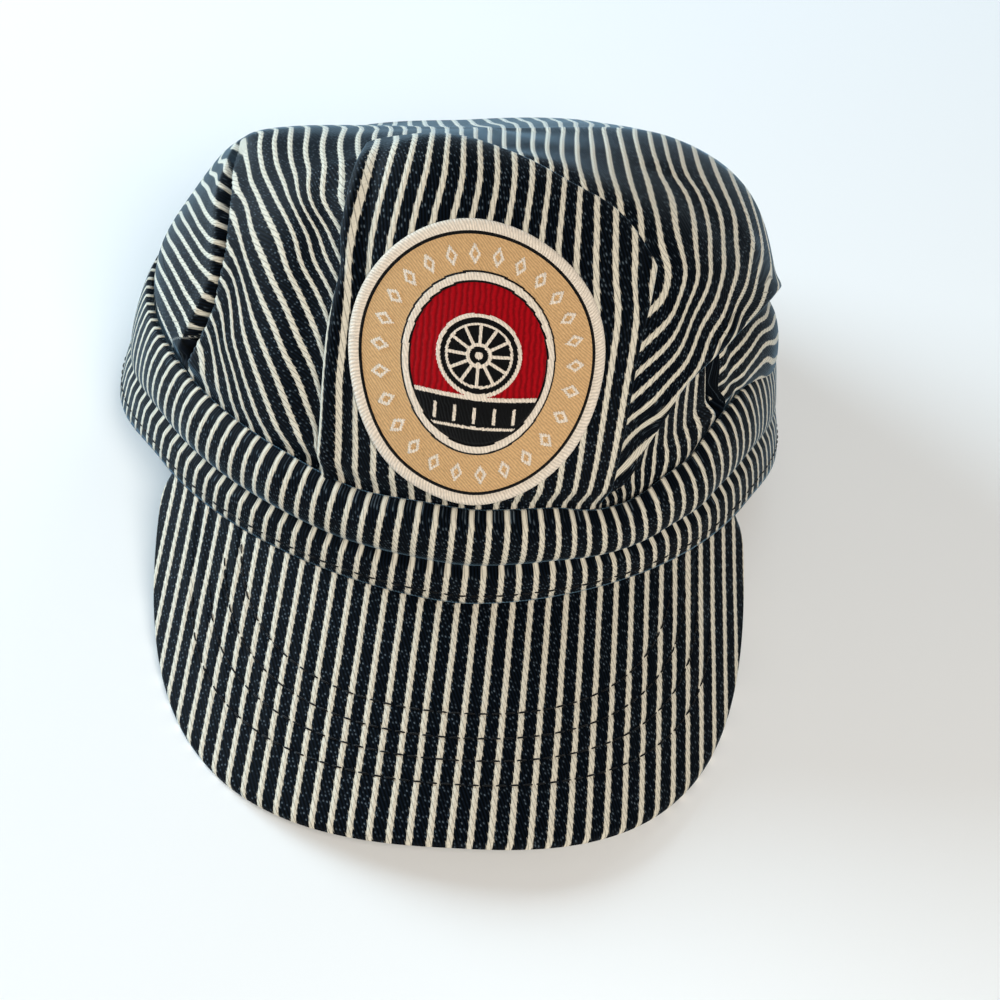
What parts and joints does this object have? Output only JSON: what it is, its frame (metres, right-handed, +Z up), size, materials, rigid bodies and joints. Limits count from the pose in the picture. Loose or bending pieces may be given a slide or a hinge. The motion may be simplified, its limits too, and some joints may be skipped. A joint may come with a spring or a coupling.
{
  "type": "conductor cap",
  "caption": "Soft striped denim railway cap with a puffed band, an arched bill, a slouched crown with folds and a round-ended embroidered patch.",
  "frame": {"origin": "on the floor under the middle of the cap's outline", "axes": "+Z up; the bill points to -Y; +X to the right of someone who looks at the cap's front"},
  "size_m": [0.1956, 0.2593, 0.1206],
  "materials": {
    "striped_denim": "indigo denim twill with woven cream stripes, matt",
    "embroidery": "tan twill with satin-stitch embroidery, slightly silky"
  },
  "bodies": {
    "root": {"band": "striped_denim", "bill": "striped_denim", "crown_front": "striped_denim", "crown_body": "striped_denim", "patch": "embroidery"}
  },
  "joints": []
}
